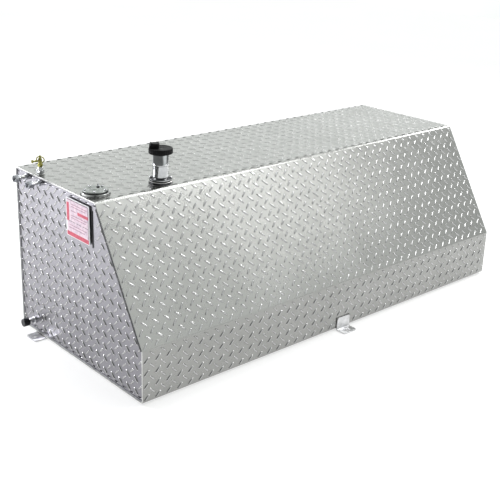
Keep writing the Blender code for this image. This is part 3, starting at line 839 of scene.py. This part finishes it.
# Filler: welded ring, gasket, chrome neck with a bead, screwed flange, and the locking cap
filler = {
    "ring": [(0.0220, -0.0045), (0.0220, 0.0074), (0.0226, 0.0080), (0.0304, 0.0080), (0.0310, 0.0074),
             (0.0310, 0.0003), (0.0222, 0.0003), (0.0222, -0.0045)],
    "gasket": [(0.0220, 0.0083), (0.0220, 0.0113), (0.0301, 0.0113), (0.0305, 0.0109), (0.0305, 0.0087),
               (0.0301, 0.0083)],
    "neck": [(0.0195, 0.0116), (0.0195, 0.0820), (0.0200, 0.0827), (0.0211, 0.0827), (0.0215, 0.0822),
             (0.0215, 0.0545), (0.0218, 0.0538), (0.0224, 0.0532), (0.0226, 0.0524), (0.0226, 0.0508),
             (0.0224, 0.0500), (0.0218, 0.0494), (0.0215, 0.0486), (0.0215, 0.0190), (0.0218, 0.0172),
             (0.0225, 0.0159), (0.0238, 0.0151), (0.0298, 0.0151), (0.0305, 0.0145), (0.0305, 0.0120),
             (0.0301, 0.0116)],
    "ringHighlightFrom": 0.0070, "neckShadow": (0.0145, 0.0185),
    "screws": (6, 0.0030, 0.0118, 0.7),  # how many, head radius, shank length, turn from one to the next
    "capTurn": math.radians(138.9), "capHinge": (0.0270, 0, 0.1052), "capLock": (0.0135, 0, 0),
    "capBody": [(0.0235, 0.0876), (0.0242, 0.0870), (0.0242, 0.0815), (0.0300, 0.0815), (0.0312, 0.0819),
                (0.0320, 0.0830), (0.0320, 0.0938), (0.0316, 0.0950), (0.0304, 0.0958), (0.0288, 0.0960),
                (0.0262, 0.0960), (0.0252, 0.0953), (0.0235, 0.0953), (0.0010, 0.0953), (0.0010, 0.0876)],
    "grip": [(0.0016, 0.0800), (0.0016, 0.0945)], "gripCount": 30, "gripCircle": 0.0328,
    "pinBore": (0.0011, -0.0090, 0.0140), "lockBore": (0.0063, 0.0900, 0.1100),
    # low and high corners of the blocks that the key housing is made from
    "crown": ((0.0035, -0.0115, 0.0940), (0.0250, 0.0115, 0.1045)), "crownCorner": 0.0070,
    "ears": ((0.0240, -0.0115, 0.0945), (0.0292, 0.0115, 0.1080)), "earCorner": 0.0024,
    "earSlot": ((0.0236, -0.0070, 0.0985), (0.0310, 0.0070, 0.1120)),
    "flap": ((0.0040, -0.0112, 0.1048), (0.0222, 0.0112, 0.1078)),
    "tongue": ((0.0215, -0.0066, 0.1048), (0.0270, 0.0066, 0.1078)),
    "knuckle": [(0.0024, -0.0066), (0.0024, 0.0066)], "flapBore": (0.0013, -0.02, 0.02),
    "keySlot": ((-0.0006, -0.0034, 0.1002), (0.0006, 0.0034, 0.1060)),
    "barrel": [(0.0060, 0.0904), (0.0060, 0.1035), (0.0056, 0.1040), (0.0044, 0.1040), (0.0042, 0.1038),
               (0.0002, 0.1038)],
    "pin": [(0.0007, -0.0088), (0.0010, -0.0085), (0.0010, 0.0109), (0.0007, 0.0112)],
}


def buildFiller():
    base = onTop("filler_weld_ring")
    ring = fitting("filler_ring", filler["ring"], 96, base, "darkSteelAndShade", ["filler_weld_ring"])
    # painted highlight: the ring's top face takes the bright cut-edge finish
    paint(ring, "cutEdgeHighlight", lambda face: face.center.z > base.z + filler["ringHighlightFrom"])
    fitting("filler_gasket_ring", filler["gasket"], 96, base, "rubber", ["filler_gasket"])
    neck = fitting("filler_neck_tube", filler["neck"], 96, base, "chrome", ["filler_neck"],
                   smooth=50)
    # painted shade: the neck's flange top and foot between these heights take the dark steel finish
    low, high = (base.z + height for height in filler["neckShadow"])
    paint(neck, "darkSteelAndShade", lambda face: face.normal.z > 0.1 and low < face.center.z < high)
    buildScrews("filler", *filler["screws"])


def buildCap():
    base = onTop("filler_weld_ring")
    hinge, acrossCap = filler["capHinge"], (0, 1, 0)

    def atLockEnd(edge):
        return runsAlong(edge, "z") and edge.verts[0].co.x < 0.01

    cap = turned("filler_cap_body", filler["capBody"], 96, hollow=True)
    grip = turned("grip", filler["grip"], 10)
    cutAway(cap, ringOf("grips", grip, filler["gripCount"], filler["gripCircle"]))
    soften(cap, 0.0003, 2, 40)
    crown = block("crown", *filler["crown"])
    roundedCorners(crown, filler["crownCorner"], atLockEnd)
    fuse(cap, crown)
    ears = block("ears", *filler["ears"])
    roundedCorners(ears, filler["earCorner"], lambda edge: runsAlong(edge, "y")
                   and edge.verts[0].co.z > 0.107)
    fuse(cap, ears)
    cutAway(cap, block("hingeSlot", *filler["earSlot"]))
    drill(cap, *filler["pinBore"], hinge, acrossCap, 20)
    drill(cap, *filler["lockBore"], filler["capLock"])
    place(cap, base, roll=filler["capTurn"])
    done(cap, "plastic", "cap", ["filler_cap"], 35)

    flap = block("cap_flap", *filler["flap"])
    roundedCorners(flap, filler["crownCorner"], atLockEnd)
    fuse(flap, block("tongue", *filler["tongue"]))
    fuse(flap, place(turned("knuckle", filler["knuckle"], 32), hinge, acrossCap))
    drill(flap, *filler["flapBore"], hinge, acrossCap, 20)
    soften(flap, 0.0006, 3, 50)
    place(flap, base, roll=filler["capTurn"])
    done(flap, "plastic", "key_flap", ["cap_key_flap"], 35)

    barrel = turned("lock_barrel", filler["barrel"], 48)
    cutAway(barrel, block("keySlot", *filler["keySlot"]))
    place(barrel, filler["capLock"])
    place(barrel, base, roll=filler["capTurn"])
    done(barrel, "brass", "lock", ["cap_lock_barrel"])
    pin = place(turned("hinge_pin", filler["pin"], 24), hinge, acrossCap)
    place(pin, base, roll=filler["capTurn"])
    done(pin, "steel", "cap", ["cap_flap_pin"])


# Gauge sender: welded ring, gasket, screwed plate with a pressed hub and one terminal
sender = {
    "ring": [(0.0210, -0.0045), (0.0210, 0.0064), (0.0216, 0.0070), (0.0360, 0.0070), (0.0366, 0.0068),
             (0.0370, 0.0062), (0.0370, 0.0003), (0.0215, 0.0003), (0.0215, -0.0045)],
    "gasket": [(0.0208, 0.0073), (0.0208, 0.0093), (0.0327, 0.0093), (0.0330, 0.0090), (0.0330, 0.0076),
               (0.0327, 0.0073)],
    "plate": [(0.0300, 0.0096), (0.0326, 0.0096), (0.0330, 0.0100), (0.0330, 0.0116), (0.0326, 0.0123),
              (0.0318, 0.0126), (0.0190, 0.0126), (0.0180, 0.0122), (0.0150, 0.0122), (0.0140, 0.0126),
              (0.0096, 0.0127), (0.0090, 0.0132), (0.0086, 0.0139), (0.0078, 0.0142), (0.0005, 0.0142)],
    "screws": (5, 0.0034, 0.0093, 0.9), "terminalAt": (0.013, 0.008),
    "insulator": [(0.0040, 0.0129), (0.0040, 0.0147), (0.0037, 0.0150), (0.0018, 0.0150)],
    "stud": [(0.0016, 0.0150), (0.0017, 0.0153), (0.0017, 0.0157), (0.0013, 0.0160), (0.0017, 0.0163),
             (0.0017, 0.0167), (0.0013, 0.0170), (0.0017, 0.0200), (0.0013, 0.0203), (0.0017, 0.0206),
             (0.0017, 0.0210), (0.0013, 0.0213), (0.0017, 0.0216), (0.0012, 0.0220)],
    "nut": [(0.0027, 0.0151), (0.0032, 0.0155), (0.0032, 0.0168), (0.0027, 0.0172)],
}


def buildSender():
    base = onTop("sender_weld_ring")
    fitting("sender_ring", sender["ring"], 96, base, "turned", ["sender_weld_ring"])
    fitting("sender_gasket_ring", sender["gasket"], 96, base, "rubber", ["sender_gasket"])
    fitting("sender_cover", sender["plate"], 96, base, "senderPlate", ["sender_plate"],
            hollow=False, smooth=40)
    buildScrews("sender", *sender["screws"])
    spot = base + Vector((*sender["terminalAt"], 0))
    fitting("terminal_insulator", sender["insulator"], 32, spot, "plastic", ["sender_terminal"],
            hollow=False)
    for name, profile, sides in (("terminal_stud", sender["stud"], 20), ("terminal_nut", sender["nut"], 6)):
        fitting(name, profile, sides, spot, "steel", (), hollow=False, smooth=20)


# Relief valve: bung, hex riser, brass body with side outlet, sprung stem and pull ring
valve = {
    "turn": math.radians(168), "hexTurn": 0.3,
    "bung": [(0.0067, 0.0003), (0.0067, 0.0046), (0.0070, 0.0050), (0.0105, 0.0050), (0.0110, 0.0045),
             (0.0110, 0.0003)],
    "riser": [(0.0045, -0.0100), (0.0045, 0.0216), (0.0049, 0.0220), (0.0076, 0.0220), (0.0080, 0.0216),
              (0.0080, 0.0205), (0.0074, 0.0200), (0.0080, 0.0193), (0.0080, 0.0186), (0.0074, 0.0181),
              (0.0080, 0.0174), (0.0080, 0.0100), (0.0064, 0.0095), (0.0064, -0.0100)],
    "riserHex": [(0.0098, 0.0053), (0.0112, 0.0061), (0.0112, 0.0142), (0.0098, 0.0150)],
    "riserHexBore": [(0.0060, 0.0), (0.0060, 0.03)], "stemBore": (0.0023, 0.0330, 0.0500),
    "body": [(0.0048, 0.0223), (0.0052, 0.0227), (0.0052, 0.0322), (0.0049, 0.0326), (0.0049, 0.0334),
             (0.0052, 0.0338), (0.0052, 0.0438), (0.0048, 0.0449), (0.0040, 0.0455), (0.0024, 0.0455)],
    "bodyHex": [(0.0068, 0.0240), (0.0078, 0.0246), (0.0078, 0.0294), (0.0068, 0.0300)],
    "nozzle": [(0.0026, 0.0032), (0.0026, 0.0120), (0.0032, 0.0126), (0.0032, 0.0142), (0.0026, 0.0148),
               (0.0026, 0.0188), (0.0042, 0.0195), (0.0046, 0.0199), (0.0046, 0.0231), (0.0042, 0.0235),
               (0.0022, 0.0235), (0.0022, 0.0140), (0.0010, 0.0140)],
    "nozzleHeight": 0.0385,
    "stem": [(0.0016, 0.0350), (0.0020, 0.0354), (0.0020, 0.0458), (0.0028, 0.0460), (0.0031, 0.0464),
             (0.0031, 0.0522), (0.0028, 0.0531), (0.0020, 0.0534), (0.0004, 0.0534)],
    "ringHole": 0.0500, "ringBore": 0.0026, "ringRadius": 0.0103, "ringWire": 0.0016,
    "ringLean": math.radians(25), "ringSide": (0.753, -0.657, 0), "groove": 0.0001, "grooveSize": 0.985,
}


def buildValve():
    base = onTop("valve_bung")
    fitting("valve_bung_ring", valve["bung"], 48, base, "turned", ["valve_bung"])
    fitting("valve_nipple", valve["riser"], 48, base, "chrome", ["valve_riser"])
    hexFitting("valve_nipple_hex", valve["riserHex"], base, "chrome", (),
               spin=valve["hexTurn"], bore=valve["riserHexBore"])
    body = place(turned("valve_barrel", valve["body"], 48), base)
    drill(body, *valve["stemBore"], base, sides=32)
    done(body, "brass", "tank", ["valve_body"])
    hexFitting("valve_barrel_hex", valve["bodyHex"], base, "brass", (), spin=valve["hexTurn"])
    facing = (math.cos(valve["turn"]), math.sin(valve["turn"]), 0)
    fitting("valve_outlet", valve["nozzle"], 40, base + Vector((0, 0, valve["nozzleHeight"])),
            "brass", (), facing, hollow=False)
    hole = base + Vector((0, 0, valve["ringHole"]))
    side = Vector(valve["ringSide"]).normalized()
    stem = place(turned("valve_pull_stem", valve["stem"], 32), base)
    drill(stem, valve["ringBore"], -0.01, 0.01, hole, side, 24)
    done(stem, "brass", "relief_stem", ["valve_stem"])
    lean = Vector((-side.y, side.x, 0)) * math.sin(valve["ringLean"])
    lean -= Vector((0, 0, math.cos(valve["ringLean"])))
    ring = started("torus", "valve_pull_ring", major_radius=valve["ringRadius"],
                   minor_radius=valve["ringWire"], major_segments=72, minor_segments=14)
    # The split ring's second turn shows as a groove round the wire
    pick(ring, "edges", lambda edge: all(
        abs(v.co.z) < 1e-5 and math.hypot(v.co.x, v.co.y) > valve["ringRadius"] for v in edge.verts))
    bpy.ops.mesh.bevel(offset=valve["groove"], segments=2, affect="EDGES")
    bpy.ops.transform.resize(value=(valve["grooveSize"], valve["grooveSize"], 1), center_override=(0, 0, 0))
    bpy.ops.object.mode_set(mode="OBJECT")
    place(ring, hole + lean * valve["ringRadius"], side.cross(lean))
    done(ring, "brass", "relief_ring", ["valve_ring"], 60)


# Ports and drain on the left end
port = {
    "neck": [(0.0045, -0.0200), (0.0045, 0.0370), (0.0066, 0.0370), (0.0070, 0.0366), (0.0055, 0.0320),
             (0.0055, 0.0210), (0.0055, 0.0080), (0.0055, 0.0072), (0.0055, 0.0030), (0.0085, 0.0030),
             (0.0085, -0.0037), (0.0070, -0.0037), (0.0070, -0.0200)],
    "hex": [(0.0082, -0.0005), (0.0092, 0.0002), (0.0092, 0.0062), (0.0082, 0.0070)],
    "hexBore": [(0.0050, -0.01), (0.0050, 0.02)],
    "nut": [(0.0096, 0.0215), (0.0108, 0.0226), (0.0108, 0.0380), (0.0098, 0.0400)], "nutTurn": 0.2,
    "nutBore": [(0.0058, 0.0200), (0.0058, 0.0310), (0.0076, 0.0310), (0.0076, 0.0450)],
    "nipple": [(0.0050, -0.0250), (0.0050, 0.0290), (0.0074, 0.0290), (0.0078, 0.0286), (0.0078, 0.0150),
               (0.0074, 0.0145), (0.0078, 0.0140), (0.0078, 0.0130), (0.0074, 0.0125), (0.0078, 0.0120),
               (0.0078, 0.0010), (0.0106, 0.0007), (0.0110, 0.0003), (0.0110, -0.0037), (0.0078, -0.0037),
               (0.0078, -0.0250)],
    "washer": [(0.0052, 0.0293), (0.0052, 0.0308), (0.0076, 0.0308), (0.0076, 0.0293)],
    "cap": [(0.0108, 0.0350), (0.0113, 0.0345), (0.0115, 0.0335), (0.0115, 0.0180), (0.0113, 0.0172),
            (0.0110, 0.0170), (0.0081, 0.0170), (0.0081, 0.0311), (0.0005, 0.0311)],
    "flute": [(0.0011, 0.0185), (0.0011, 0.0330)], "capFlutes": 18, "fluteCircle": 0.0121,
}


def buildPorts():
    left = (-1, 0, 0)
    for side in ("rear", "front"):
        seat = onLeftEnd("port_fitting_" + side)
        fitting("port_neck_" + side, port["neck"], 48, seat, "screw", ["port_fitting_" + side], left)
        hexFitting("port_hex_" + side, port["hex"], seat, "steel", (), left,
                   bore=port["hexBore"], boreSides=32)
        hexFitting("port_flare_nut_" + side, port["nut"], seat, "steel", ["port_nut_" + side], left,
                   port["nutTurn"], port["nutBore"])
    seat = onLeftEnd("drain_nipple")
    fitting("drain_pipe", port["nipple"], 48, seat, "screw", ["drain_nipple"], left)
    fitting("drain_seal", port["washer"], 40, seat, "rubber", ["drain_washer"], left,
            "drain_carrier")
    cap = turned("drain_end_cap", port["cap"], 72)
    cutAway(cap, ringOf("flutes", turned("flute", port["flute"], 8), port["capFlutes"], port["fluteCircle"]))
    place(cap, seat, left)
    done(cap, "darkSteelAndShade", "drain_closure", ["drain_cap"])


buildWelds()
buildBracket("bracket_front", -1)
buildBracket("bracket_rear", 1)
buildTab("tab_left", -1)
buildTab("tab_right", 1)
print("welds and brackets made")
buildLabel()
print("label made")
buildFiller()
buildCap()
buildSender()
buildValve()
buildPorts()
print("fittings made")

# CAD nodes that stay get their finish
kept = {
    # the end plates take the darker bluish tread copy, painted shade
    "end_plate_left": "ends", "end_plate_right": "ends", "baffle_left": "plain", "baffle_right": "plain",
    "cap_insert": "plastic", "cap_seal": "rubber", "sender_stem": "plain", "float_arm": "steel",
    "sender_float": "foam", "pickup_tube": "plain",
}
for node, finish in kept.items():
    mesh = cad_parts[node].data
    mesh.materials.clear()
    mesh.materials.append(finishes[finish])
print("kept nodes finished:", len(kept))


# Studio: pale floor, soft light from above and both sides
studio = {
    "floorSize": 14, "floorGlow": 0.60, "skyStrength": 0.20, "skyColour": (0.97, 1.0, 0.985),
    "skyGlows": (  # direction, where it starts and is full (cosine), added strength
        ((0.46, 0.82, 0.33), 0.50, 0.97, 1.14),
        ((0.45, -0.76, 0.46), 0.72, 0.99, 1.00),
        ((0.05, 0.15, 1.00), 0.60, 0.98, 0.80),
    ),
    "lights": (
        # name, place, looks at, size, power, colour
        ("keySoftbox", (1.70, -1.75, 1.64), (-0.1, -0.2, 0.4), (0.8, 0.7), 2.4, (1.0, 0.99, 0.98)),
        ("ridgeStrip", (0.62, 0.0, 2.20), (-0.5, -0.1, 0.48), (0.7, 0.25), 7, (1.0, 1.0, 1.0)),
        ("rightHigh", (1.16, -1.08, 2.20), (0.5, -0.2, 0.3), (0.75, 0.75), 18, (1.0, 1.0, 1.0)),
        ("rightLow", (3.20, -0.02, 2.15), (-0.4, -0.2, 0.3), (1.00, 1.00), 56, (1.0, 1.0, 1.0)),
        ("floorWash", (-1.7, 1.7, 1.2), (-1.6, 1.6, 0.0), (0.8, 0.8), 60, (0.95, 0.95, 1.0)),
        ("leftGlint", (-1.64, 0.48, 0.28), (-0.7, 0.2, 0.12), (0.12, 0.12), 0.8, (1.0, 1.0, 1.0)),
    ),
}


def buildStudio():
    floor = started("plane", "floor", size=studio["floorSize"], location=(0, 0, 0))
    pick(floor, "faces", lambda face: True)
    bpy.ops.mesh.subdivide(number_cuts=3)
    bpy.ops.object.mode_set(mode="OBJECT")
    paper = Finish("floorPaper", (0.45, 0.45, 0.45), 0.9, 0.0)
    paper.blotches(paper.noise(2, 2), (0.44, 0.44, 0.44), (0.46, 0.46, 0.46))
    paper.shader.inputs["Emission Color"].default_value = (1, 1, 1, 1)
    paper.shader.inputs["Emission Strength"].default_value = studio["floorGlow"]
    floor.data.materials.append(paper.material)
    world = bpy.data.worlds.new("studioSky")
    bpy.context.scene.world = world
    world.use_nodes = True
    tree = world.node_tree
    sky = tree.nodes["Background"]
    sky.inputs["Color"].default_value = (*studio["skyColour"], 1)
    direction = tree.nodes.new("ShaderNodeTexCoord").outputs["Generated"]
    total = None
    for way, edge, core, added in studio["skyGlows"]:
        dot = tree.nodes.new("ShaderNodeVectorMath")
        dot.operation = "DOT_PRODUCT"
        tree.links.new(direction, dot.inputs[0])
        dot.inputs[1].default_value = Vector(way).normalized()
        glow = tree.nodes.new("ShaderNodeMapRange")
        glow.interpolation_type = "SMOOTHSTEP"
        for socket, value in (("From Min", edge), ("From Max", core), ("To Min", 0), ("To Max", added)):
            glow.inputs[socket].default_value = value
        tree.links.new(dot.outputs["Value"], glow.inputs["Value"])
        add = tree.nodes.new("ShaderNodeMath")
        add.inputs[1].default_value = studio["skyStrength"]
        if total:
            tree.links.new(total, add.inputs[1])
        tree.links.new(glow.outputs["Result"], add.inputs[0])
        total = add.outputs["Value"]
    tree.links.new(total, sky.inputs["Strength"])
    for name, spot, target, size, power, colour in studio["lights"]:
        lamp = bpy.data.lights.new(name, "AREA")
        lamp.shape = "RECTANGLE"
        lamp.size, lamp.size_y = size
        lamp.energy = power
        lamp.color = colour
        holder = bpy.data.objects.new(name, lamp)
        bpy.context.scene.collection.objects.link(holder)
        away = Vector(spot) - Vector(target)
        holder.matrix_world = Matrix.Translation(spot) @ away.to_track_quat("Z", "Y").to_matrix().to_4x4()
    bpy.context.scene.view_settings.view_transform = "Standard"


buildStudio()
print("studio lit")
